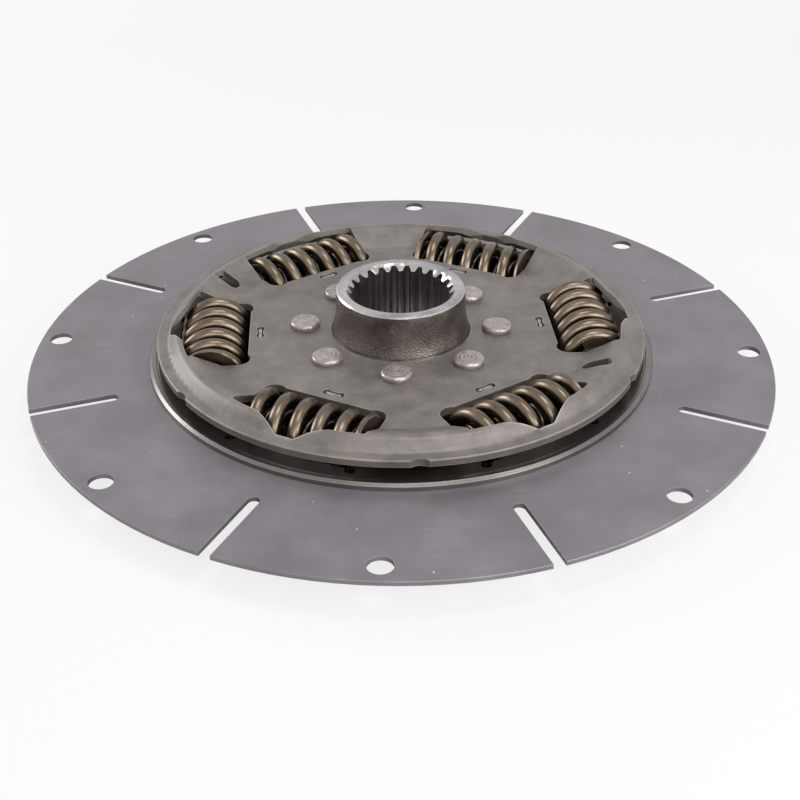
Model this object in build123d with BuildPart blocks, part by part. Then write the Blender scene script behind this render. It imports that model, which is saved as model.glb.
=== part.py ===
from build123d import *
import os
from math import ceil, cos, hypot, isclose, radians, sin, sqrt, tan

# Torsion damper clutch disc. A slotted flex plate bolts to an engine's flywheel and carries a
# windowed drive disc. The splined hub is riveted between two pressed cover plates, and six pairs
# of coil springs pass the torque from the drive disc to the covers.
# Millimetres. Z = 0 is the flex plate's flywheel face and +Z runs along the hub to the gearbox.
# Angles count from +X. A window's own axes are X outwards from the hub and Y along the spring.

# Flex plate
flex_diameter = 352.4
flex_thickness = 2.3
flex_edge_chamfer = 0.25
bolt_inset = 9.5
bolt_count = 8
bolt_hole_diameter = 10.8
bolt_angle = 42.1
slot_width = 5.4
slot_end_radius = 136.5

# Internal spline, module 2, with straight flanks
spline_teeth = 24
spline_minor_radius = 23.0
spline_major_radius = 25.0
spline_space_half = 1.55
spline_flank_angle = 30.0
bore_chamfer = 2.9

# Hub barrel. It tapers from its base to both ends, with a flare above the front cover
hub_height = 44.8
hub_below_cover = 4.0
hub_base_radius = 33.2
hub_neck_step = 2.2
hub_top_step = 2.6
hub_end_step = 0.8
hub_flare_height = 7.2
hub_flare_round = 30.0
hub_edge_chamfer = 0.8

# Rivets through both covers and the hub's flange
rivet_count = 8
rivet_angle = 42.3
rivet_diameter = 10.0
rivet_hole_gap = 0.05
rivet_head_diameter = 14.5
rivet_head_height = 3.0
rivet_head_round = 1.1
rivet_head_to_barrel = 5.55

# Hub flange, and the lugs that stop the twist in the drive disc's notches
flange_beyond_rivets = 10.5
lug_count = 6
lug_reach = 5.5
lug_half_angle = 7.0
lug_end_gap = 0.6
twist_limit = 6.0
twist_spare = 0.5
disc_bore_gap = 0.4

# Friction pack between the drive disc and the covers, just outside the lugs
pack_edge_gap = 0.6
pack_width = 8.2
friction_gap = 0.02
front_friction_thickness = 1.4
rear_friction_thickness = 1.9
pressure_ring_thickness = 1.0
diaphragm_thickness = 0.9
diaphragm_rise = 0.28
tab_length = 7.4
tab_thickness = 1.5
tab_side_gap = 0.55
tab_end_gap = 0.6
tab_below_face = 0.3
tab_relief_radius = 1.9
tab_relief_inset = 0.95

# Springs, one inside the other, and the drive disc's windows round them
window_count = 6
window_angle = 3.6
spring_length = 58.0
outer_diameter = 33.6
outer_wire = 6.2
outer_pitch = 10.2
inner_gap = 0.7
inner_wire = 3.8
inner_pitch = 6.6
coil_parts = 4
disc_window_end_gap = 0.05
disc_window_side_gap = 0.4
disc_window_relief = 2.6

# Drive disc, with the lip that the flex plate sits under
disc_thickness = 5.0
seat_beyond_rim = 0.5
lip_overlap = 4.0
lip_step = 0.5
lip_land = 2.2
lip_bevel = 1.2

# Cover plates: a flat middle, a hood that rises over the springs and a flat rim
sheet = 3.6
sheet_thinning = 0.5
cover_bore_gap = 0.25
cover_to_pack = 1.0
hood_over_spring = -0.2
hood_spring_gap = 0.3
hood_inner_slope = 27.5
hood_outer_slope = 50.0
hood_crest_width = 3.7
hood_round = 2.0
round_share = 0.9
rim_rise = 1.9
rim_width = 5.4
rim_edge_chamfer = 0.4
rim_notch_radius = 5.7
rim_notch_depth = 1.7

# Cover windows: a straight inner edge with an ear at each end, ends that splay outwards from the
# ears, and a notch in the outer slope
cover_window_side_gap = 0.4
cover_window_end_gap = 1.2
cover_window_splay = 5.5
ear_radius = 5.6
ear_depth = 1.3
notch_to_rim = 0.6
notch_floor_half = 4.2
notch_side_angle = 62.0
notch_round = 2.0

# Oval slots in the hood, opposite each other
oval_count = 2
oval_width = 7.0
oval_length = 13.6
oval_from_rim = 11.9

# Heights, from the drive disc outwards to both sides
middle = disc_thickness / 2
pressure_ring_bottom = disc_thickness + friction_gap + front_friction_thickness
diaphragm_bottom = pressure_ring_bottom + pressure_ring_thickness
flange_top = diaphragm_bottom + diaphragm_rise + diaphragm_thickness
flange_bottom = 2 * middle - flange_top
cover_top = flange_top + sheet
cover_bottom = flange_bottom - sheet
hub_bottom = cover_bottom - hub_below_cover
hub_top = hub_bottom + hub_height
rim_top = cover_top + rim_rise
lip_top = disc_thickness + lip_step

# Radii, from the hub outwards
bolt_circle = flex_diameter - 2 * bolt_inset
rivet_circle_radius = hub_base_radius + rivet_head_to_barrel + rivet_head_diameter / 2
flange_radius = rivet_circle_radius + flange_beyond_rivets
lug_radius = flange_radius + lug_reach
lug_notch_radius = lug_radius + lug_end_gap
pack_inner_radius = lug_notch_radius + pack_edge_gap
pack_outer_radius = pack_inner_radius + pack_width
tab_radius = (pack_inner_radius + pack_outer_radius) / 2
cover_window_inner = pack_outer_radius + cover_to_pack
outer_radius = outer_diameter / 2
spring_axis_radius = cover_window_inner + cover_window_side_gap + outer_radius

# The hood's underside clears the outer spring by the same gap at the crest's cut edge and on the
# outer slope, both taken at the spring's ends, where it reaches furthest out
rise = radians(hood_inner_slope)
fall = radians(hood_outer_slope)
hood_sheet = sheet - sheet_thinning
crest_top = middle + outer_radius + hood_over_spring
crest_under_height = crest_top - hood_sheet - middle
cleared_height = crest_under_height - hood_spring_gap
cleared_reach = spring_axis_radius + sqrt(outer_radius**2 - cleared_height**2)
crest_cut_radius = hypot(cleared_reach, spring_length / 2)
touch_radius = hypot(spring_axis_radius + outer_radius * sin(fall), spring_length / 2)
slope_radius = touch_radius + hood_spring_gap * sin(fall)
slope_height = (outer_radius + hood_spring_gap) * cos(fall)
crest_under_end = slope_radius - (crest_under_height - slope_height) / tan(fall)
crest_end_radius = crest_under_end + hood_sheet * tan(fall / 2)
crest_start_radius = crest_end_radius - hood_crest_width
hood_start_radius = crest_start_radius - (crest_top - cover_top) / tan(rise)
rim_inner_radius = crest_end_radius + (crest_top - rim_top) / tan(fall)
rim_outer_radius = rim_inner_radius + rim_width
disc_seat_radius = rim_outer_radius + seat_beyond_rim
lip_radius = disc_seat_radius + lip_overlap

between_windows = window_angle + 180 / window_count
mid_plane = Plane.XY.offset(middle)

os.makedirs("parts", exist_ok=True)


def save(builder, name):
    builder.part.label = name
    export_step(builder.part, f"parts/{name}.step")


# A pie slice about +X, as wide as twice the half angle
def slice_of_disc(radius, half_angle):
    with BuildSketch() as slice_sketch:
        with BuildLine():
            arc = CenterArc((0, 0), radius, -half_angle, 2 * half_angle)
            Line((0, 0), arc @ 0)
            Line((0, 0), arc @ 1)
        make_face()
    return slice_sketch.sketch


# Flex plate: a ring with bolt holes and, midway between them, slots that are open at the rim
with BuildPart() as flex_plate:
    with BuildSketch():
        Circle(flex_diameter / 2)
        Circle(disc_seat_radius, mode=Mode.SUBTRACT)
    extrude(amount=flex_thickness)
    rim_edges = flex_plate.edges().filter_by(GeomType.CIRCLE).sort_by(SortBy.RADIUS)[-2:]
    chamfer(rim_edges, flex_edge_chamfer)
    with BuildSketch():
        with PolarLocations(bolt_circle / 2, bolt_count, start_angle=bolt_angle):
            Circle(bolt_hole_diameter / 2)
        slot_centre = slot_end_radius + slot_width / 2
        with PolarLocations(slot_centre, bolt_count, start_angle=bolt_angle + 180 / bolt_count):
            Circle(slot_width / 2)
            Rectangle(flex_diameter / 2, slot_width, align=(Align.MIN, Align.CENTER))
    extrude(amount=flex_thickness, mode=Mode.SUBTRACT)

save(flex_plate, "flex_plate")


# One window of the drive disc, closed round the spring, with a relief hole at each corner
with BuildSketch() as disc_window:
    disc_window_width = outer_diameter + 2 * disc_window_side_gap
    disc_window_length = spring_length + 2 * disc_window_end_gap
    with Locations((spring_axis_radius, 0)):
        Rectangle(disc_window_width, disc_window_length)
        with GridLocations(disc_window_width, disc_window_length, 2, 2):
            Circle(disc_window_relief)

lug_notch = slice_of_disc(lug_notch_radius, lug_half_angle + twist_limit + twist_spare)

# Drive disc: a seat and lip for the flex plate, the windows, and a notch for each hub lug
with BuildPart() as drive_disc:
    with BuildSketch(Plane.XZ):
        with BuildLine():
            disc_bore = flange_radius + disc_bore_gap
            lip_inner = lip_radius - lip_bevel - lip_land
            Polyline(
                (disc_bore, 0),
                (disc_seat_radius, 0),
                (disc_seat_radius, flex_thickness),
                (lip_radius, flex_thickness),
                (lip_radius, lip_top - lip_bevel),
                (lip_radius - lip_bevel, lip_top),
                (lip_inner, lip_top),
                (lip_inner, disc_thickness),
                (disc_bore, disc_thickness),
                close=True,
            )
        make_face()
    revolve(axis=Axis.Z)
    with BuildSketch():
        with PolarLocations(0, window_count, start_angle=window_angle):
            add(disc_window.sketch)
        with PolarLocations(0, lug_count, start_angle=between_windows):
            add(lug_notch)
    extrude(amount=disc_thickness, mode=Mode.SUBTRACT)

save(drive_disc, "drive_disc")


# One window of a cover, as it is cut down through the sheet
with BuildSketch() as cover_window:
    window_half = spring_length / 2 + cover_window_end_gap
    ear_middle = cover_window_inner - ear_depth + ear_radius
    splay = (crest_cut_radius - ear_middle) * tan(radians(cover_window_splay))
    with BuildLine():
        Polyline(
            (cover_window_inner, ear_radius - window_half),
            (ear_middle, -window_half),
            (crest_cut_radius, -window_half - splay),
            (crest_cut_radius, window_half + splay),
            (ear_middle, window_half),
            (cover_window_inner, window_half - ear_radius),
            close=True,
        )
    make_face()
    Circle(crest_cut_radius, mode=Mode.INTERSECT)
    with Locations((ear_middle, 0)):
        with GridLocations(0, 2 * (window_half - ear_radius), 1, 2):
            Circle(ear_radius)
    with BuildLine():
        notch_floor = rim_inner_radius - notch_to_rim
        notch_root = spring_axis_radius + outer_radius / 2
        notch_run = (notch_floor - notch_root) * tan(radians(notch_side_angle))
        Polyline(
            (notch_root, -notch_floor_half - notch_run),
            (notch_floor, -notch_floor_half),
            (notch_floor, notch_floor_half),
            (notch_root, notch_floor_half + notch_run),
            close=True,
        )
    make_face()
    fillet(cover_window.vertices().sort_by(Axis.X)[-2:], notch_round)

# Slot for one lug of the ring behind a cover, with a relief hole near each end
with BuildSketch() as tab_slot:
    tab_slot_length = tab_length + 2 * tab_end_gap
    with Locations((tab_radius, 0)):
        Rectangle(tab_thickness + 2 * tab_side_gap, tab_slot_length)
        with GridLocations(0, tab_slot_length - 2 * tab_relief_inset, 1, 2):
            Circle(tab_relief_radius)

# Front cover: the pressed section turned round the axis, then pierced
with BuildPart() as front_cover:
    with BuildSketch(Plane.XZ):
        with BuildLine():
            cover_bore = hub_base_radius + cover_bore_gap
            crest_room = round_share * hood_crest_width / (tan(rise / 2) + tan(fall / 2))
            crest_round = min(hood_round + hood_sheet, crest_room)
            upper_side = FilletPolyline(
                (cover_bore, cover_top),
                (hood_start_radius, cover_top),
                (crest_start_radius, crest_top),
                (crest_end_radius, crest_top),
                (rim_inner_radius, rim_top),
                (rim_outer_radius, rim_top),
                radius=(hood_round, crest_round, crest_round, hood_round),
            )
            under_start = hood_start_radius + (hood_sheet - sheet * cos(rise)) / sin(rise)
            under_crest_start = crest_start_radius + hood_sheet * tan(rise / 2)
            under_rim = rim_inner_radius - (hood_sheet - sheet * cos(fall)) / sin(fall)
            under_room = round_share * (crest_under_end - under_crest_start)
            under_round = min(hood_round, under_room / (tan(rise / 2) + tan(fall / 2)))
            under_side = FilletPolyline(
                (cover_bore, flange_top),
                (under_start, flange_top),
                (under_crest_start, crest_top - hood_sheet),
                (crest_under_end, crest_top - hood_sheet),
                (under_rim, rim_top - sheet),
                (rim_outer_radius, rim_top - sheet),
                radius=(crest_round, under_round, under_round, crest_round),
            )
            Line(upper_side @ 0, under_side @ 0)
            Line(upper_side @ 1, under_side @ 1)
        make_face()
    revolve(axis=Axis.Z)
    rim_edges = front_cover.edges().filter_by(GeomType.CIRCLE).sort_by(SortBy.RADIUS)[-2:]
    chamfer(rim_edges, rim_edge_chamfer)
    with BuildSketch(mid_plane):
        with PolarLocations(0, window_count, start_angle=window_angle):
            add(cover_window.sketch)
            add(tab_slot.sketch)
        with PolarLocations(rivet_circle_radius, rivet_count, start_angle=rivet_angle):
            Circle(rivet_diameter / 2 + rivet_hole_gap)
        rim_notch_centre = rim_outer_radius - rim_notch_depth + rim_notch_radius
        with PolarLocations(rim_notch_centre, window_count, start_angle=between_windows):
            Circle(rim_notch_radius)
        oval_angle = between_windows + 2 * 360 / window_count
        with PolarLocations(rim_inner_radius - oval_from_rim, oval_count, start_angle=oval_angle):
            SlotOverall(oval_length, oval_width)
    extrude(amount=crest_top - middle, mode=Mode.SUBTRACT)

save(front_cover, "front_cover")

# Rear cover: the same pressing on the other side of the drive disc
with BuildPart() as rear_cover:
    add(mirror(front_cover.part, about=mid_plane, mode=Mode.PRIVATE))

save(rear_cover, "rear_cover")


lug = slice_of_disc(lug_radius, lug_half_angle)

# One space between two spline teeth, begun inside the bore so that it cuts the wall whole
with BuildSketch() as spline_space:
    with BuildLine():
        depth = spline_major_radius - spline_minor_radius
        flank_run = depth * tan(radians(spline_flank_angle))
        Polyline(
            (spline_minor_radius - depth / 2, spline_space_half + flank_run),
            (spline_major_radius, spline_space_half - flank_run / 2),
            (spline_major_radius, flank_run / 2 - spline_space_half),
            (spline_minor_radius - depth / 2, -spline_space_half - flank_run),
            close=True,
        )
    make_face()

# Hub: a turned barrel, the flange with its lugs, and the splined bore
with BuildPart() as hub:
    with BuildSketch(Plane.XZ) as barrel_section:
        with BuildLine():
            top_radius = hub_base_radius - hub_top_step
            end_radius = hub_base_radius - hub_end_step
            neck = (hub_base_radius - hub_neck_step, cover_top + hub_flare_height)
            Polyline(
                (0, hub_bottom),
                (end_radius - hub_edge_chamfer, hub_bottom),
                (end_radius, hub_bottom + hub_edge_chamfer),
                (hub_base_radius, cover_bottom),
                (hub_base_radius, cover_top),
                neck,
                (top_radius, hub_top - hub_edge_chamfer),
                (top_radius - hub_edge_chamfer, hub_top),
                (0, hub_top),
                close=True,
            )
        make_face()
        fillet(barrel_section.vertices().sort_by_distance(neck)[0], hub_flare_round)
    revolve(axis=Axis.Z)
    with BuildSketch(Plane.XY.offset(flange_bottom)):
        Circle(flange_radius)
        with PolarLocations(0, lug_count, start_angle=between_windows):
            add(lug)
        with PolarLocations(rivet_circle_radius, rivet_count, start_angle=rivet_angle):
            Circle(rivet_diameter / 2 + rivet_hole_gap, mode=Mode.SUBTRACT)
    extrude(amount=flange_top - flange_bottom)
    Hole(spline_minor_radius)
    round_edges = hub.edges().filter_by(GeomType.CIRCLE)
    chamfer(round_edges.filter_by(lambda e: isclose(e.radius, spline_minor_radius)), bore_chamfer)
    with BuildSketch(Plane.XY.offset(hub_bottom)):
        with PolarLocations(0, spline_teeth, start_angle=180 / spline_teeth):
            add(spline_space.sketch)
    extrude(amount=hub_height, mode=Mode.SUBTRACT)

save(hub, "hub")


# One rivet, headed on both sides
with BuildPart() as rivet:
    with BuildSketch(Plane.XY.offset(cover_bottom)):
        Circle(rivet_diameter / 2)
    extrude(amount=cover_top - cover_bottom)
    with BuildSketch(Plane.XY.offset(cover_top)):
        Circle(rivet_head_diameter / 2)
    extrude(amount=rivet_head_height)
    with BuildSketch(Plane.XY.offset(cover_bottom)):
        Circle(rivet_head_diameter / 2)
    extrude(amount=-rivet_head_height)
    head_edges = rivet.edges().filter_by(GeomType.CIRCLE).sort_by(Axis.Z)
    fillet((head_edges[0], head_edges[-1]), rivet_head_round)

# The eight rivets, each a solid of its own
with BuildPart() as cover_rivets:
    with PolarLocations(rivet_circle_radius, rivet_count, start_angle=rivet_angle):
        add(rivet.part)

save(cover_rivets, "cover_rivets")


# A friction pack ring that lies flat
def flat_ring(bottom, thickness):
    with BuildPart() as ring:
        with BuildSketch(Plane.XY.offset(bottom)):
            Circle(pack_outer_radius)
            Circle(pack_inner_radius, mode=Mode.SUBTRACT)
        extrude(amount=thickness)
    return ring


front_friction_ring = flat_ring(disc_thickness + friction_gap, front_friction_thickness)
save(front_friction_ring, "front_friction_ring")

pressure_ring = flat_ring(pressure_ring_bottom, pressure_ring_thickness)
save(pressure_ring, "pressure_ring")

rear_friction_ring = flat_ring(-friction_gap - rear_friction_thickness, rear_friction_thickness)
save(rear_friction_ring, "rear_friction_ring")

# Diaphragm spring: a coned ring pressed against the front cover, with a lug in each tab slot
with BuildPart() as diaphragm_spring:
    with BuildSketch(Plane.XZ):
        with BuildLine():
            Polyline(
                (pack_inner_radius, diaphragm_bottom),
                (pack_outer_radius, diaphragm_bottom + diaphragm_rise),
                (pack_outer_radius, flange_top),
                (pack_inner_radius, flange_top - diaphragm_rise),
                close=True,
            )
        make_face()
    revolve(axis=Axis.Z)
    with BuildSketch(Plane.XY.offset(diaphragm_bottom + diaphragm_rise)):
        with PolarLocations(tab_radius, window_count, start_angle=window_angle):
            Rectangle(tab_thickness, tab_length)
    extrude(amount=diaphragm_thickness + sheet - tab_below_face)

save(diaphragm_spring, "diaphragm_spring")

# Support ring: a flat ring against the rear cover, held by the same kind of lugs
with BuildPart() as support_ring:
    with BuildSketch(Plane.XY.offset(flange_bottom)):
        Circle(pack_outer_radius)
        Circle(pack_inner_radius, mode=Mode.SUBTRACT)
    extrude(amount=-friction_gap - rear_friction_thickness - flange_bottom)
    with BuildSketch(Plane.XY.offset(flange_bottom)):
        with PolarLocations(tab_radius, window_count, start_angle=window_angle):
            Rectangle(tab_thickness, tab_length)
    extrude(amount=tab_below_face - sheet)

save(support_ring, "support_ring")


# A coil spring about the Z axis with flat ends, its middle at the origin. It is joined from equal
# parts of a turn, each turned on and moved along from the one before it
def coil_spring(diameter, wire, pitch, left_hand):
    advance = pitch / coil_parts
    with BuildPart() as part_turn:
        with BuildLine():
            bottom = (0, 0, -advance / 2)
            path = Helix(pitch, advance, (diameter - wire) / 2, bottom, lefthand=left_hand)
        with BuildSketch(Plane(origin=path @ 0, z_dir=path % 0)):
            Circle(wire / 2)
        sweep(path=path, is_frenet=True)
    step_angle = (-360 if left_hand else 360) / coil_parts
    count = ceil((spring_length + wire) / advance)
    steps = [n - (count - 1) / 2 for n in range(count)]
    with BuildPart() as coil:
        with Locations([Location((0, 0, n * advance), (0, 0, n * step_angle)) for n in steps]):
            add(part_turn.part)
        split(bisect_by=Plane.XY.offset(spring_length / 2), keep=Keep.BOTTOM)
        split(bisect_by=Plane.XY.offset(-spring_length / 2), keep=Keep.TOP)
    return coil.part


outer_coil = coil_spring(outer_diameter, outer_wire, outer_pitch, False)
inner_coil = coil_spring(outer_diameter - 2 * (outer_wire + inner_gap), inner_wire, inner_pitch, True)

# Each window holds an outer and an inner spring, lying along the window
for k in range(window_count):
    turn = window_angle + k * 360 / window_count
    outwards = Vector(1, 0, 0).rotate(Axis.Z, turn)
    along = Vector(0, 1, 0).rotate(Axis.Z, turn)
    centre = outwards * spring_axis_radius + Vector(0, 0, middle)
    spring_seat = Plane(origin=centre, x_dir=outwards, z_dir=along)
    with BuildPart() as outer_spring:
        with Locations(spring_seat):
            add(outer_coil)
    save(outer_spring, f"outer_spring_{k + 1}")
    with BuildPart() as inner_spring:
        with Locations(spring_seat):
            add(inner_coil)
    save(inner_spring, f"inner_spring_{k + 1}")
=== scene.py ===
import math

import bmesh
import bpy
import numpy as np
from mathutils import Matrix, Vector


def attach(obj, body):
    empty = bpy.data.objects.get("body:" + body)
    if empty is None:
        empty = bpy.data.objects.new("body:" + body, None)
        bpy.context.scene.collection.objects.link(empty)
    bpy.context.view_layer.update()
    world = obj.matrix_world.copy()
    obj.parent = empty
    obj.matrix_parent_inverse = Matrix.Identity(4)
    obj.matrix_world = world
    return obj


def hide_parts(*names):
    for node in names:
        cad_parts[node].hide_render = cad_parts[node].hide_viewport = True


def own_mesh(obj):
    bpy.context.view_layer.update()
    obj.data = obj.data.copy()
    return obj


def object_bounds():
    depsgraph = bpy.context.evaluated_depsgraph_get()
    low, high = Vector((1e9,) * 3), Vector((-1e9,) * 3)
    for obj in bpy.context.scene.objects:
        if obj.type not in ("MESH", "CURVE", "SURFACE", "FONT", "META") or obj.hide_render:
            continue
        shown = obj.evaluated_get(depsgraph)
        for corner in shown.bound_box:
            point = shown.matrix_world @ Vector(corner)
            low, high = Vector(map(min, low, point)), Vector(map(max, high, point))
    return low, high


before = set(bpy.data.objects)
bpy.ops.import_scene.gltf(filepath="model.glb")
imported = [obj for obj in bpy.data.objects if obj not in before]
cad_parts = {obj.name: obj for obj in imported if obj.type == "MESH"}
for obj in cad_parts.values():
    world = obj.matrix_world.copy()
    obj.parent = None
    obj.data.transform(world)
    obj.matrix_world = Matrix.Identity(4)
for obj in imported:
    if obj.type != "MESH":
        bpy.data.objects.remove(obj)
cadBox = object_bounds()
print("frame loaded:", len(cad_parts), "nodes")

# Lengths are metres in the CAD model's frame, where Z = 0 is the flex plate's flywheel face.
# Noise scales are cells per metre. Colours are linear red, green and blue.


# Shader nodes

# detail of each kind of noise, and how rough that detail is
noiseKinds = {
    "mottle": (5.0, 0.6), "grain": (2.0, 0.6), "stain": (4.0, 0.65),
    "lines": (2.0, 0.55), "scratches": (1.0, 0.55),
}

# the two values of a noise between which each of its effects grows; most of them lie about 0.5
noiseSpans = {
    "shade": (0.3, 0.7), "colour": (0.36, 0.64), "scratched": (0.42, 0.6), "worn": (0.35, 0.55),
}


# adds a node; a socket among the inputs is linked, any other value is set
def addNode(tree, kind, inputs=None, **settings):
    node = tree.nodes.new(kind)
    for key, value in settings.items():
        setattr(node, key, value)
    for key, value in (inputs or {}).items():
        if isinstance(value, bpy.types.NodeSocket):
            tree.links.new(value, node.inputs[key])
        else:
            node.inputs[key].default_value = value
    return node


def rgb(colour):
    return (*colour, 1.0)


def calculate(tree, operation, a, b=0.0):
    return addNode(tree, "ShaderNodeMath", {0: a, 1: b}, operation=operation).outputs[0]


def multiply(tree, a, b):
    return calculate(tree, "MULTIPLY", a, b)


# colour times a number
def shaded(tree, colour, shade):
    sockets = {0: colour, 1: shade}
    return addNode(tree, "ShaderNodeVectorMath", sockets, operation="MULTIPLY").outputs[0]


# value carried from one range to another, clamped at both ends
def remap(tree, value, low, high, toLow=0.0, toHigh=1.0):
    sockets = {"Value": value, "From Min": low, "From Max": high, "To Min": toLow, "To Max": toHigh}
    return addNode(tree, "ShaderNodeMapRange", sockets).outputs[0]


# the value where the mask is 1, and the other one where it is 0
def within(tree, mask, value, otherwise=1.0):
    return remap(tree, mask, 0.0, 1.0, otherwise, value)


# a factor that follows a noise, from the amount below 1 to the amount above it
def varied(tree, value, amount):
    return remap(tree, value, *noiseSpans["shade"], 1 - amount, 1 + amount)


def noise(tree, vector, scale, kind):
    detail, roughness = noiseKinds[kind]
    sockets = {"Vector": vector, "Scale": scale, "Detail": detail, "Roughness": roughness}
    return addNode(tree, "ShaderNodeTexNoise", sockets).outputs["Fac"]


def mixColour(tree, factor, a, b):
    return addNode(tree, "ShaderNodeMix", {0: factor, 6: a, 7: b}, data_type="RGBA").outputs[2]


# Object coordinates, and what follows from them: the height and the distance from the hub's axis
def places(tree):
    source = addNode(tree, "ShaderNodeTexCoord").outputs
    x, y, z = addNode(tree, "ShaderNodeSeparateXYZ", {0: source["Object"]}).outputs
    squares = calculate(tree, "ADD", multiply(tree, x, x), multiply(tree, y, y))
    radius = calculate(tree, "SQRT", squares)
    return {"coords": source["Object"], "normal": source["Normal"], "height": z, "radius": radius}


# lines turned round the axis: noise that changes with radius and height but not with angle
def turnedLines(tree, at, scale):
    sockets = {0: at["radius"], 1: at["height"]}
    away = addNode(tree, "ShaderNodeCombineXYZ", sockets).outputs[0]
    return noise(tree, away, scale, "lines")


# Wear on edges: samples of the rounded normal, how well it agrees with the true one on a flat and
# on an edge, and the share of the wear that is left where the mottling is dark
wear = {"samples": 6, "flat": 0.995, "edge": 0.86, "least": 0.4}


# 1 on an edge, 0 on a flat: the rounded normal leans away from the true one there
def edgeMask(tree, width):
    bevel = addNode(tree, "ShaderNodeBevel", {"Radius": width}, samples=wear["samples"])
    geometry = addNode(tree, "ShaderNodeNewGeometry")
    sockets = {0: bevel.outputs[0], 1: geometry.outputs["Normal"]}
    dot = addNode(tree, "ShaderNodeVectorMath", sockets, operation="DOT_PRODUCT")
    return remap(tree, dot.outputs["Value"], wear["flat"], wear["edge"])


# half widths of a zone's borders: a length for its radius and height, a share for its slope
zoneBorder = {"length": 0.0001, "slope": 0.08}


# Where a part of a piece has its own finish or its painted light or shade: by distance from the
# axis and by height, and where the zone says so only on faces that look up or down ("facing") or
# only on the others ("steep").
def zoneMask(tree, at, zone):
    mask = 1.0
    border = zoneBorder["length"]
    for key in ("radius", "height"):
        low, high = zone[key]
        above = remap(tree, at[key], low - border, low + border)
        below = remap(tree, at[key], high + border, high - border)
        mask = multiply(tree, mask, multiply(tree, above, below))
    upright = addNode(tree, "ShaderNodeSeparateXYZ", {0: at["normal"]}).outputs[2]
    level = calculate(tree, "ABSOLUTE", upright)
    slope = zoneBorder["slope"]
    for key, ramp in (("facing", slope), ("steep", -slope)):
        if key in zone:
            mask = multiply(tree, mask, remap(tree, level, zone[key] - ramp, zone[key] + ramp))
    return mask


# how far above its limit a noise, or a speck's draw, has its full effect
fadeIn = {"scratches": 0.06, "stain": 0.12, "specks": 0.001}


# fine scratches along one direction: stretched noise, cut so that only its peaks are left
def scratches(tree, at, mark):
    fine = 1 / mark["spacing"]
    sockets = {
        "Vector": at["coords"], "Rotation": (0, 0, mark["angle"]),
        "Scale": (1 / mark["length"], fine, fine),
    }
    stretched = addNode(tree, "ShaderNodeMapping", sockets).outputs[0]
    limit = 1 - mark["amount"]
    peaks = noise(tree, stretched, 1.0, "scratches")
    return remap(tree, peaks, limit, limit + fadeIn["scratches"])


# core: the share of a speck's radius that is at full strength
dust = {"colour": (0.75, 0.75, 0.75), "core": 0.5}


# dust specks: a dot in the middle of some of a pattern's cells
def dustSpecks(tree, at, specks):
    sockets = {"Vector": at["coords"], "Scale": specks["scale"]}
    cells = addNode(tree, "ShaderNodeTexVoronoi", sockets).outputs
    dot = remap(tree, cells["Distance"], specks["size"], specks["size"] * dust["core"])
    draw = addNode(tree, "ShaderNodeSeparateColor", {0: cells["Color"]}).outputs[0]
    limit = 1 - specks["share"]
    return multiply(tree, dot, remap(tree, draw, limit, limit + fadeIn["specks"]))


# Finishes, some with painted light and shade

bumpDepth = 0.001    # metres that a bump height of 1 stands for


# one material with mottling, grain and whatever else its look names: scratches, a stain, zones (a
# finish of their own, or painted light or shade), dust specks and worn edges
def makeMetal(name, look):
    material = bpy.data.materials.new(name)
    material.use_nodes = True
    tree = material.node_tree
    tree.nodes.clear()
    at = places(tree)
    mottle = noise(tree, at["coords"], look["mottleScale"], "mottle")
    grain = noise(tree, at["coords"], look["grainScale"], "grain")
    light = remap(tree, mottle, *noiseSpans["colour"])
    colour = mixColour(tree, light, rgb(look["dark"]), rgb(look["light"]))
    colour = shaded(tree, colour, varied(tree, grain, look["grainColour"]))
    rough = remap(tree, mottle, *noiseSpans["shade"], *look["rough"])
    height = multiply(tree, grain, look["grainHeight"])
    metallic = look["metallic"]
    for mark in look.get("scratches", ()):
        lines = scratches(tree, at, mark)
        lines = multiply(tree, lines, remap(tree, mottle, *noiseSpans["scratched"]))
        lines = multiply(tree, lines, mark["strength"])
        colour = mixColour(tree, lines, colour, rgb(mark["colour"]))
    if "stain" in look:
        stain = look["stain"]
        blot = noise(tree, at["coords"], stain["scale"], "stain")
        full = stain["start"] + fadeIn["stain"]
        blot = remap(tree, blot, stain["start"], full, 0.0, stain["strength"])
        colour = mixColour(tree, blot, colour, rgb(stain["colour"]))
    for zone in look.get("zones", ()):
        mask = zoneMask(tree, at, zone)
        shade = varied(tree, mottle, zone["variation"])
        if "lines" in zone:
            lines = turnedLines(tree, at, zone["lines"]["scale"])
            shade = multiply(tree, shade, varied(tree, lines, zone["lines"]["colour"]))
        colour = mixColour(tree, mask, colour, shaded(tree, zone["colour"], shade))
        rough = within(tree, mask, zone["rough"], rough)
        metallic = within(tree, mask, zone["metallic"], metallic)
        height = multiply(tree, height, within(tree, mask, zone["bump"]))
    if "specks" in look:
        dots = multiply(tree, dustSpecks(tree, at, look["specks"]), look["specks"]["strength"])
        colour = mixColour(tree, dots, colour, rgb(dust["colour"]))
    if "edge" in look:
        edge = look["edge"]
        patches = remap(tree, mottle, *noiseSpans["worn"], wear["least"], 1.0)
        worn = multiply(tree, edgeMask(tree, edge["width"]), patches)
        worn = multiply(tree, worn, edge["strength"])
        colour = mixColour(tree, worn, colour, rgb(edge["colour"]))
    relief = {"Height": height, "Strength": 1.0, "Distance": bumpDepth}
    bump = addNode(tree, "ShaderNodeBump", relief).outputs[0]
    sockets = {"Base Color": colour, "Roughness": rough, "Metallic": metallic, "Normal": bump}
    shader = addNode(tree, "ShaderNodeBsdfPrincipled", sockets)
    addNode(tree, "ShaderNodeOutputMaterial", {0: shader.outputs[0]})
    return material


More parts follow.
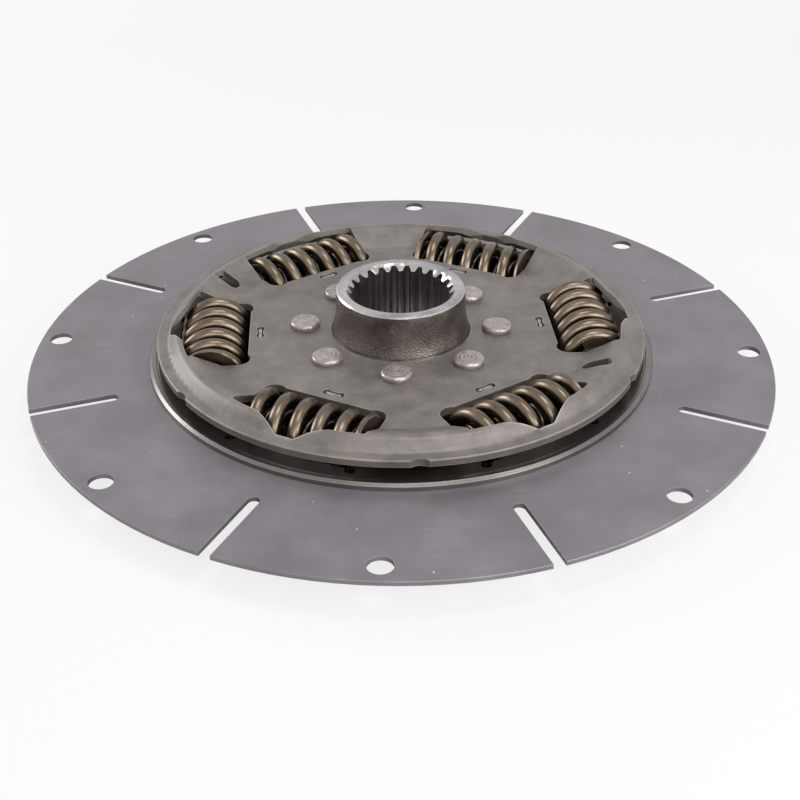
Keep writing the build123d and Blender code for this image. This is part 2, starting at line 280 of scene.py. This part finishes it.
flexPlateLook = {
    "dark": (0.178, 0.162, 0.178), "light": (0.236, 0.213, 0.235), "metallic": 0.4,
    "rough": (0.38, 0.48),
    "mottleScale": 26.0, "grainScale": 2600.0, "grainColour": 0.06, "grainHeight": 0.03,
    "stain": {"scale": 15.0, "start": 0.58, "strength": 0.4, "colour": (0.165, 0.142, 0.135)},
    "scratches": [
        {"angle": 0.5, "spacing": 0.0006, "length": 0.04, "amount": 0.31, "strength": 0.35,
         "colour": (0.42, 0.40, 0.43)},
        {"angle": -0.9, "spacing": 0.0007, "length": 0.03, "amount": 0.30, "strength": 0.35,
         "colour": (0.12, 0.105, 0.12)},
    ],
    "specks": {"scale": 170.0, "size": 0.10, "share": 0.09, "strength": 0.8},
    "edge": {"width": 0.0005, "strength": 0.7, "colour": (0.55, 0.52, 0.54)},
}

# The zones: the rim's side and the windows' walls, painted darker as shade, and the hoods' cut
# edges, painted lighter as the light that falls on them from the front
coverLook = {
    "dark": (0.155, 0.138, 0.130), "light": (0.232, 0.208, 0.196), "metallic": 0.4,
    "rough": (0.40, 0.52),
    "mottleScale": 75.0, "grainScale": 2000.0, "grainColour": 0.12, "grainHeight": 0.06,
    "stain": {"scale": 36.0, "start": 0.58, "strength": 0.45, "colour": (0.115, 0.100, 0.088)},
    "scratches": [
        {"angle": 0.3, "spacing": 0.0005, "length": 0.012, "amount": 0.29, "strength": 0.3,
         "colour": (0.40, 0.38, 0.36)},
    ],
    "zones": [
        # painted shade on the rim's side
        {"radius": (0.1125, 0.1175), "height": (-0.01, 0.0138), "colour": (0.140, 0.121, 0.102),
         "variation": 0.2, "rough": 0.5, "metallic": 0.35, "bump": 1.0},
        # painted shade on the windows' steep walls, inside the recesses
        {"radius": (0.060, 0.112), "height": (0.0080, 0.0190), "steep": 0.30,
         "colour": (0.135, 0.118, 0.100), "variation": 0.25, "rough": 0.5, "metallic": 0.3,
         "bump": 1.0},
        # painted light on the hoods' cut edges, where the front light falls on them
        {"radius": (0.1025, 0.1115), "height": (0.0138, 0.0195), "steep": 0.30,
         "colour": (0.28, 0.260, 0.232), "variation": 0.2, "rough": 0.5, "metallic": 0.2,
         "bump": 1.0},
    ],
    "edge": {"width": 0.0009, "strength": 0.8, "colour": (0.44, 0.42, 0.37)},
}

# The near black body is painted shade, that of the gap under the cover's rim; the zone is the
# turned lip round the cover.
driveDiscLook = {
    "dark": (0.030, 0.026, 0.022), "light": (0.052, 0.046, 0.040), "metallic": 0.6,
    "rough": (0.45, 0.6),
    "mottleScale": 50.0, "grainScale": 2500.0, "grainColour": 0.12, "grainHeight": 0.03,
    "zones": [
        {"radius": (0.1158, 0.13), "height": (0.0001, 0.01), "colour": (0.185, 0.170, 0.160),
         "variation": 0.12, "lines": {"scale": 2200.0, "colour": 0.2}, "rough": 0.30,
         "metallic": 0.95, "bump": 1.0},
    ],
    "edge": {"width": 0.0004, "strength": 0.35, "colour": (0.45, 0.43, 0.41)},
}

# The zones: the turned top face, the splined bore, and the foot of the barrel
hubLook = {
    "dark": (0.085, 0.071, 0.064), "light": (0.175, 0.149, 0.136), "metallic": 0.95,
    "rough": (0.28, 0.36),
    "mottleScale": 70.0, "grainScale": 1500.0, "grainColour": 0.3, "grainHeight": 0.28,
    "specks": {"scale": 210.0, "size": 0.14, "share": 0.10, "strength": 0.8},
    "zones": [
        {"radius": (0.02, 0.032), "height": (0.029, 0.04), "facing": 0.5,
         "colour": (0.40, 0.385, 0.395), "variation": 0.35,
         "lines": {"scale": 1800.0, "colour": 0.2}, "rough": 0.24, "metallic": 1.0, "bump": 0.05},
        {"radius": (0.020, 0.0256), "height": (-0.02, 0.0335), "colour": (0.40, 0.38, 0.37),
         "variation": 0.25, "rough": 0.22, "metallic": 1.0, "bump": 0.05},
        {"radius": (0.0325, 0.034), "height": (0.0120, 0.0131), "colour": (0.27, 0.25, 0.235),
         "variation": 0.2, "rough": 0.28, "metallic": 1.0, "bump": 0.1},
    ],
}

rivetLook = {
    "dark": (0.28, 0.249, 0.240), "light": (0.42, 0.378, 0.365), "metallic": 0.5,
    "rough": (0.22, 0.30),
    "mottleScale": 260.0, "grainScale": 1800.0, "grainColour": 0.08, "grainHeight": 0.05,
    "edge": {"width": 0.0006, "strength": 0.5, "colour": (0.54, 0.51, 0.49)},
}

springLook = {
    "dark": (0.118, 0.091, 0.062), "light": (0.178, 0.138, 0.108), "metallic": 1.0,
    "rough": (0.26, 0.34),
    "mottleScale": 130.0, "grainScale": 1900.0, "grainColour": 0.10, "grainHeight": 0.014,
    "stain": {"scale": 60.0, "start": 0.60, "strength": 0.5, "colour": (0.075, 0.052, 0.036)},
}

# the inner springs: the outer springs' steel painted darker, as the shade inside the outer coils
innerSpringPaintedShadeLook = {
    "dark": (0.040, 0.033, 0.028), "light": (0.085, 0.074, 0.066), "metallic": 1.0,
    "rough": (0.24, 0.34),
    "mottleScale": 150.0, "grainScale": 1900.0, "grainColour": 0.10, "grainHeight": 0.014,
}

# the springs' ground ends, painted dark as shade, with worn edges
springEndPaintedShadeAndWearLook = {
    "dark": (0.045, 0.031, 0.022), "light": (0.075, 0.053, 0.038), "metallic": 0.8,
    "rough": (0.38, 0.5),
    "mottleScale": 200.0, "grainScale": 2400.0, "grainColour": 0.15, "grainHeight": 0.05,
    "edge": {"width": 0.0003, "strength": 0.8, "colour": (0.45, 0.38, 0.30)},
}

lugLook = {
    "dark": (0.14, 0.130, 0.120), "light": (0.48, 0.46, 0.44), "metallic": 0.8,
    "rough": (0.28, 0.4),
    "mottleScale": 520.0, "grainScale": 2500.0, "grainColour": 0.12, "grainHeight": 0.05,
    "edge": {"width": 0.0004, "strength": 0.8, "colour": (0.75, 0.73, 0.70)},
}

frictionLook = {
    "dark": (0.04, 0.032, 0.025), "light": (0.08, 0.066, 0.052), "metallic": 0.0,
    "rough": (0.8, 0.9),
    "mottleScale": 300.0, "grainScale": 2500.0, "grainColour": 0.3, "grainHeight": 0.1,
}

flexPlateMetal = makeMetal("flexPlateMetal", flexPlateLook)
coverMetal = makeMetal("coverMetal", coverLook)
driveDiscMetal = makeMetal("driveDiscMetal", driveDiscLook)
hubMetal = makeMetal("hubMetal", hubLook)
rivetMetal = makeMetal("rivetMetal", rivetLook)
springMetal = makeMetal("springMetal", springLook)
innerSpringPaintedShadeMetal = makeMetal("innerSpringPaintedShadeMetal", innerSpringPaintedShadeLook)
springEndPaintedShadeAndWearMetal = makeMetal("springEndPaintedShadeAndWearMetal", springEndPaintedShadeAndWearLook)
lugMetal = makeMetal("lugMetal", lugLook)
frictionMaterial = makeMetal("frictionMaterial", frictionLook)
print("finishes made")


# Meshes

# Faces of a closed tube, whose points are a grid of rows along it and columns round it, and then
# the two ends' middles: one quad for each of the grid's cells, then a fan of triangles at each end.
def tubeFaces(rows, columns):
    row = np.arange(rows - 1)[:, None] * columns
    ring = np.arange(columns)
    following = (ring + 1) % columns
    corners = (row + ring, row + following, row + columns + following, row + columns + ring)
    sides = np.stack(corners, axis=-1).reshape(-1, 4)
    first, last = rows * columns, rows * columns + 1
    startCap = np.stack([np.full(columns, first), following, ring], axis=-1)
    bottom = (rows - 1) * columns
    endCap = np.stack([np.full(columns, last), bottom + ring, bottom + following], axis=-1)
    return sides, startCap, endCap


# puts a mesh in the scene as the piece that stands for a CAD node
def addPiece(name, mesh, materials, node, body):
    mesh.materials.clear()
    for material in materials:
        mesh.materials.append(material)
    piece = bpy.data.objects.new(name, mesh)
    bpy.context.scene.collection.objects.link(piece)
    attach(piece, body)
    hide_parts(node)
    return piece


# a mesh of vertices and polygons of 3 or 4 corners
def makeMesh(name, vertices, polygons):
    mesh = bpy.data.meshes.new(name)
    mesh.from_pydata(vertices, [], polygons)
    mesh.validate()
    return mesh


# smooth faces, with a crease where two of them meet at more than the angle
def smoothByAngle(mesh, degrees):
    mesh.polygons.foreach_set("use_smooth", np.ones(len(mesh.polygons), bool))
    mesh.set_sharp_from_angle(angle=math.radians(degrees))


# Coil springs

# squeezed: the share of its length that a spring keeps at the damper's limit of 6 degrees
# flat: how near to the end planes a point counts as ground flat
springSeats = {
    "count": 6, "firstAngle": 3.6, "radius": 0.0896, "height": 0.0025, "length": 0.058,
    "squeezed": 0.84, "flat": 1e-7, "crease": 40,
}

# coilAt: place of the coil top next to the middle of each spring, along it
# turns: turns from that coil top to the spring's two tips
outerSpring = {
    "node": "outer_spring", "metal": springMetal, "rightHand": True,
    "diameter": 0.0336, "wire": 0.0062, "pitch": 0.0102, "around": 24, "perTurn": 72,
    "coilAt": (-0.0024, 0.0015, -0.0059, -0.0028, -0.0024, -0.0012),
    "turns": ((3.05, 3.5), (3.35, 3.12), (2.65, 3.7), (2.75, 3.45), (2.75, 3.4), (2.8, 3.35)),
}

innerSpring = {
    "node": "inner_spring", "metal": innerSpringPaintedShadeMetal, "rightHand": False,
    "diameter": 0.0198, "wire": 0.0038, "pitch": 0.0066, "around": 16, "perTurn": 48,
    "coilAt": (0.0011, -0.0020, 0.0027, -0.0006, 0.0018, -0.0029),
    "turns": ((5.0, 4.67), (4.53, 5.13), (5.24, 4.42), (4.74, 4.92), (5.1, 4.56), (4.4, 5.27)),
}

# closing: the fewest turns over which the pitch falls off towards a tip
# past: how far the tip's centre lies past the end plane, in wire diameters
springEnds = {"closing": 0.9, "past": 0.35}

coilTop = math.radians(-100)    # the angle round the spring that shows as a coil's top


# A round wire of radius w follows a helix of radius R: centre = (R cos a, y, -R sin a), where t
# turns from the coil top next to the middle y = pitch t - short u^2, u runs from 0 to 1 over the
# closing turns, and short is what makes the tip end where it should. There are enough closing
# turns that the pitch never falls below the wire's diameter. The wire's surface = centre + w (cos b
# times the outward normal + sin b times the binormal). Whatever passes the end planes is pressed
# onto them, which leaves the ground flats.
def springGrid(spring, number):
    wire, pitch = spring["wire"], spring["pitch"]
    coilAt = spring["coilAt"][number - 1]
    before, after = spring["turns"][number - 1]
    half = springSeats["length"] / 2
    turn = np.linspace(-before, after, round((before + after) * spring["perTurn"]))
    tip = np.where(turn < 0, before, after)
    reach = half + springEnds["past"] * wire - np.sign(turn) * coilAt
    short = pitch * tip - reach
    closing = np.maximum(springEnds["closing"], 2 * short / (pitch - wire))
    u = np.clip((np.abs(turn) - tip + closing) / closing, 0, 1)
    y = coilAt + np.sign(turn) * (pitch * np.abs(turn) - short * u * u)
    hand = 1 if spring["rightHand"] else -1
    a = hand * 2 * math.pi * turn + coilTop
    coilRadius = (spring["diameter"] - wire) / 2
    centre = np.stack([coilRadius * np.cos(a), y, -coilRadius * np.sin(a)], axis=-1)
    forward = np.gradient(centre, axis=0)
    forward /= np.linalg.norm(forward, axis=1, keepdims=True)
    outward = np.stack([np.cos(a), np.zeros_like(a), -np.sin(a)], axis=-1)
    across = np.cross(forward, outward)
    b = np.linspace(0, 2 * math.pi, spring["around"], endpoint=False)[None, :, None]
    section = np.cos(b) * outward[:, None] + np.sin(b) * across[:, None]
    grid = centre[:, None] + wire / 2 * section
    ends = centre[[0, -1]]
    grid[..., 1] = np.clip(grid[..., 1], -half, half)
    ends[:, 1] = np.clip(ends[:, 1], -half, half)
    return grid, ends


# places points of a window's own axes, X outwards and Y along the spring, at the window's angle
def atWindow(points, angle):
    c, s = math.cos(angle), math.sin(angle)
    x = points[..., 0] + springSeats["radius"]
    y = points[..., 1]
    z = points[..., 2] + springSeats["height"]
    return np.stack([x * c - y * s, x * s + y * c, z], axis=-1)


# The ground flats are the faces whose points all lie on an end plane, and have their own material,
# painted dark as shade.
def makeSpring(spring, number):
    angle = math.radians(springSeats["firstAngle"] + (number - 1) * 360 / springSeats["count"])
    grid, ends = springGrid(spring, number)
    vertices = np.vstack([grid.reshape(-1, 3), ends])
    parts = tubeFaces(*grid.shape[:2])
    flat = np.abs(vertices[:, 1]) > springSeats["length"] / 2 - springSeats["flat"]
    ground = np.concatenate([flat[part].all(axis=1) for part in parts])
    polygons = [face for part in parts for face in part.tolist()]
    name = f"{spring['node'].replace('_', '-')}-{number}"
    mesh = makeMesh(name, atWindow(vertices, angle), polygons)
    metals = (spring["metal"], springEndPaintedShadeAndWearMetal)
    node = f"{spring['node']}_{number}"
    piece = addPiece(name, mesh, metals, node, "damper_hub")
    mesh.polygons.foreach_set("material_index", ground.astype(np.int32))
    smoothByAngle(mesh, springSeats["crease"])
    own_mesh(piece)


for number in range(1, springSeats["count"] + 1):
    makeSpring(outerSpring, number)
    makeSpring(innerSpring, number)
print("springs wound")


# Rivets

# top and bottom: the covers' faces, and middle the height half way between them
# edge and edgeFall: how far in the head's rounded edge starts, and its fall as a multiple of that
# bulge, waist and foot: below its widest point the head narrows by one bulge at the waist, which
# is a share of the height, and by foot times the bulge at the cover
# ring, ringSpacing and ringReach: half the depth, the spacing and the outer radius of the
# upsetting tool's rings
# lean, leanFrom and leanTurns: the heads' largest slope, the distance from the middle where it
# starts, and how fast the slopes along X and Y change from rivet to rivet, in radians
rivets = {
    "count": 8, "firstAngle": 42.3, "circle": 0.046, "radius": 0.00725, "shank": 0.005,
    "height": 0.003, "top": 0.0122, "bottom": -0.0072, "middle": 0.0025,
    "edge": 0.0013, "edgeFall": 1.2, "bulge": 0.00012, "waist": 0.25, "foot": 4,
    "ring": 0.00009, "ringSpacing": 0.0019, "ringReach": 0.0052,
    "lean": 0.012, "leanFrom": 0.0106, "leanTurns": (2.3, 3.1),
    "crownPoints": 30, "edgePoints": 9, "around": 64, "crease": 50,
}


# A head's height over the cover is flat in the middle with shallow rings left by the upsetting
# tool, h - ring + ring cos(2 pi r / spacing), and falls over an elliptic edge to its widest point.
def headProfile():
    edge, radius, height, ring = (rivets[key] for key in ("edge", "radius", "height", "ring"))
    r = np.linspace(0, radius - edge, rivets["crownPoints"])
    wave = np.cos(2 * math.pi * r / rivets["ringSpacing"]) * (r < rivets["ringReach"])
    crown = height - ring + ring * wave
    sweep = np.linspace(0, math.pi / 2, rivets["edgePoints"])[1:]
    edgeR = radius - edge + edge * np.sin(sweep)
    edgeZ = height - ring - edge * rivets["edgeFall"] * (1 - np.cos(sweep))
    side = [radius - rivets["bulge"], radius - rivets["foot"] * rivets["bulge"]]
    r = np.concatenate([r, edgeR, side])
    z = np.concatenate([crown, edgeZ, [height * rivets["waist"], 0.0]])
    return r, z


# Each rivet is its profile turned round the rivet's own axis, (r cos t, r sin t, z), from the top
# of the upper head down to the bottom of the lower one. Its heads lean a little their own way:
# past leanFrom z grows by x and y times the slopes of rivet k, lean (sin turnX k, cos turnY k).
def makeRivets():
    r, z = headProfile()
    upper = np.stack([r, rivets["top"] + z], axis=-1)
    lower = np.stack([r[::-1], rivets["bottom"] - z[::-1]], axis=-1)
    shank = np.array([[rivets["shank"], rivets["top"]], [rivets["shank"], rivets["bottom"]]])
    profile = np.vstack([upper[1:], shank, lower[:-1]])
    rows, columns = len(profile), rivets["around"]
    t = np.linspace(0, 2 * math.pi, columns, endpoint=False)
    heights = np.repeat(profile[:, 1:], columns, axis=1)
    side = np.stack([profile[:, :1] * np.cos(t), profile[:, :1] * np.sin(t), heights], axis=-1)
    poles = np.array([[0, 0, upper[0, 1]], [0, 0, lower[-1, 1]]])
    one = np.vstack([side.reshape(-1, 3), poles])
    k = np.arange(rivets["count"])
    angle = np.radians(rivets["firstAngle"] + k * 360 / rivets["count"])
    turnX, turnY = rivets["leanTurns"]
    lean = rivets["lean"] * np.stack([np.sin(turnX * k), np.cos(turnY * k)], axis=-1)
    every = np.repeat(one[None], rivets["count"], axis=0)
    past = np.clip(np.abs(every[..., 2] - rivets["middle"]) - rivets["leanFrom"], 0, None)
    slope = every[..., 0] * lean[:, :1] + every[..., 1] * lean[:, 1:]
    every[..., 2] += past / rivets["height"] * slope
    every[..., 0] += rivets["circle"] * np.cos(angle)[:, None]
    every[..., 1] += rivets["circle"] * np.sin(angle)[:, None]
    parts = [part[:, ::-1] for part in tubeFaces(rows, columns)]
    polygons = []
    for n in range(rivets["count"]):
        for part in parts:
            polygons += (part + n * len(one)).tolist()
    mesh = makeMesh("cover-rivets", every.reshape(-1, 3), polygons)
    addPiece("cover-rivets", mesh, (rivetMetal,), "cover_rivets", "damper_hub")
    smoothByAngle(mesh, rivets["crease"])


makeRivets()
print("rivets headed")


# Stamped, turned and forged pieces keep the CAD shape, on merged copies with softened edges

# weld and sliver: closer points become one, and shorter edges are dissolved
# flat and crease: edges with a smaller angle than flat are dissolved, and those with a larger one
# than crease are softened, in degrees
softEdges = {"weld": 2e-6, "sliver": 1e-6, "flat": 0.6, "crease": 32, "segments": 2}


def softenedCopy(node, name, material, body, softening):
    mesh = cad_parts[node].data.copy()
    mesh.name = name
    work = bmesh.new()
    work.from_mesh(mesh)
    bmesh.ops.remove_doubles(work, verts=work.verts, dist=softEdges["weld"])
    bmesh.ops.dissolve_degenerate(work, edges=work.edges, dist=softEdges["sliver"])
    flat = math.radians(softEdges["flat"])
    bmesh.ops.dissolve_limit(work, verts=work.verts, edges=work.edges, angle_limit=flat)
    work.to_mesh(mesh)
    work.free()
    piece = addPiece(name, mesh, (material,), node, body)
    smoothByAngle(mesh, softEdges["crease"])
    bevel = piece.modifiers.new("softenedEdges", "BEVEL")
    bevel.width = softening
    bevel.segments = softEdges["segments"]
    bevel.limit_method = "ANGLE"
    bevel.angle_limit = math.radians(softEdges["crease"])
    bevel.harden_normals = True
    bevel.miter_outer = "MITER_ARC"


# CAD node, piece, metal, slot, body and the softened edges' width
pressedPieces = [
    ("flex_plate", "flex-plate", flexPlateMetal, "flex_plate", "drive_plate", 0.00012),
    ("drive_disc", "drive-disc", driveDiscMetal, "drive_disc", "drive_plate", 0.00015),
    ("front_cover", "front-cover", coverMetal, "cover", "damper_hub", 0.0003),
    ("rear_cover", "rear-cover", coverMetal, "cover", "damper_hub", 0.0003),
    ("hub", "hub-forging", hubMetal, "hub", "damper_hub", 0.00015),
    ("diaphragm_spring", "diaphragm-spring", lugMetal, "lug_ring", "damper_hub", 0.00015),
    ("support_ring", "support-ring", lugMetal, "lug_ring", "damper_hub", 0.00015),
    ("pressure_ring", "pressure-ring", lugMetal, "lug_ring", "damper_hub", 0.0001),
    ("front_friction_ring", "front-friction-ring", frictionMaterial, "friction", "damper_hub",
     0.0001),
    ("rear_friction_ring", "rear-friction-ring", frictionMaterial, "friction", "damper_hub",
     0.0001),
]
for node, name, material, slotName, body, softening in pressedPieces:
    softenedCopy(node, name, material, body, softening)
print("pressed and forged pieces dressed")


# Floor, world and lamps

white = (1, 1, 1, 1)

# glow and farAway: the share of the floor's look near the part that is its own white light, and
# the radii between which that rises to all of it
# clearOfDamper and clearOfPlate: the radii between which that light sets in, as the camera sees
# the floor and as the part mirrors it
floor = {
    "size": 6.0, "below": 0.0001, "paint": 0.86, "glow": 0.8, "farAway": (0.6, 1.3),
    "clearOfDamper": (0.100, 0.112), "clearOfPlate": (0.19, 0.32),
}


def makeFloor():
    size, height = floor["size"], cadBox[0].z - floor["below"]
    corners = [(x * size, y * size, height) for x, y in ((-1, -1), (1, -1), (1, 1), (-1, 1))]
    mesh = bpy.data.meshes.new("floor")
    mesh.from_pydata(corners, [], [(0, 1, 2, 3)])
    card = bpy.data.objects.new("floor", mesh)
    bpy.context.scene.collection.objects.link(card)
    material = bpy.data.materials.new("paleFloor")
    material.use_nodes = True
    tree = material.node_tree
    tree.nodes.clear()
    path = addNode(tree, "ShaderNodeLightPath").outputs
    radius = places(tree)["radius"]
    direct = multiply(tree, path["Is Camera Ray"], remap(tree, radius, *floor["clearOfDamper"]))
    mirrored = calculate(tree, "MAXIMUM", path["Is Glossy Ray"], path["Is Transmission Ray"])
    mirrored = multiply(tree, mirrored, remap(tree, radius, *floor["clearOfPlate"]))
    seen = calculate(tree, "MAXIMUM", direct, mirrored)
    paint = addNode(tree, "ShaderNodeBsdfDiffuse", {"Color": rgb([floor["paint"]] * 3)})
    glow = addNode(tree, "ShaderNodeEmission", {"Color": white, "Strength": 1.0})
    share = multiply(tree, seen, remap(tree, radius, *floor["farAway"], floor["glow"], 1.0))
    shaders = {0: share, 1: paint.outputs[0], 2: glow.outputs[0]}
    blend = addNode(tree, "ShaderNodeMixShader", shaders)
    addNode(tree, "ShaderNodeOutputMaterial", {0: blend.outputs[0]})
    mesh.materials.append(material)


# Each lamp is a disc that points at the origin.
studio = {
    "worldLevel": 0.24,
    "lamps": [
        {"name": "overhead", "place": (0.25, -0.12, 1.20), "size": 0.60, "radiance": 5.0},
        {"name": "rightFront", "place": (0.85, -0.75, 0.45), "size": 0.80, "radiance": 5.4},
        {"name": "front", "place": (0.10, -1.25, 0.85), "size": 0.80, "radiance": 3.6},
        {"name": "leftBack", "place": (-1.05, 0.48, 0.46), "size": 0.60, "radiance": 7.0},
    ],
}


# The world is white to the camera and in what mirrors it, and weaker as a light. A lamp's power
# is its radiance times pi times its area.
def makeStudio():
    world = bpy.data.worlds.new("paleStudio")
    bpy.context.scene.world = world
    world.use_nodes = True
    tree = world.node_tree
    tree.nodes.clear()
    path = addNode(tree, "ShaderNodeLightPath").outputs
    seen = calculate(tree, "MAXIMUM", path["Is Camera Ray"], path["Is Glossy Ray"])
    seen = calculate(tree, "MAXIMUM", seen, path["Is Transmission Ray"])
    level = within(tree, seen, 1.0, studio["worldLevel"])
    background = addNode(tree, "ShaderNodeBackground", {"Color": white, "Strength": level})
    addNode(tree, "ShaderNodeOutputWorld", {0: background.outputs[0]})
    for lamp in studio["lamps"]:
        data = bpy.data.lights.new(lamp["name"], "AREA")
        data.shape = "DISK"
        data.size = lamp["size"]
        data.energy = lamp["radiance"] * math.pi * math.pi * (lamp["size"] / 2) ** 2
        light = bpy.data.objects.new(lamp["name"], data)
        light.location = lamp["place"]
        light.rotation_mode = "QUATERNION"
        light.rotation_quaternion = (-light.location).to_track_quat("-Z", "Y")
        bpy.context.scene.collection.objects.link(light)


makeFloor()
makeStudio()
print("studio lit")


# Camera

camera = {
    "lens": 57.30, "sensor": 36.0, "clip": (0.01, 50.0),
    "aim": (-0.00065, -0.05034, 0.0023), "distance": 0.57469, "elevation": 32.088, "roll": 0.3714,
}


# The camera stands at aim + distance * back, where back points from the aim up towards it.
def makeCamera():
    data = bpy.data.cameras.new("camera")
    data.lens = camera["lens"]
    data.sensor_width = camera["sensor"]
    data.clip_start, data.clip_end = camera["clip"]
    seat = bpy.data.objects.new("camera", data)
    bpy.context.scene.collection.objects.link(seat)
    tilt, roll = math.radians(camera["elevation"]), math.radians(camera["roll"])
    back = np.array([0, -math.cos(tilt), math.sin(tilt)])
    right = np.array([1.0, 0, 0])
    up = np.cross(back, right)
    matrix = np.eye(4)
    matrix[:3, 0] = math.cos(roll) * right - math.sin(roll) * up
    matrix[:3, 1] = math.sin(roll) * right + math.cos(roll) * up
    matrix[:3, 2] = back
    matrix[:3, 3] = np.array(camera["aim"]) + camera["distance"] * back
    seat.matrix_world = matrix.T.tolist()
    bpy.context.scene.camera = seat


makeCamera()
bpy.context.scene.view_settings.view_transform = "Standard"

bpy.context.view_layer.update()
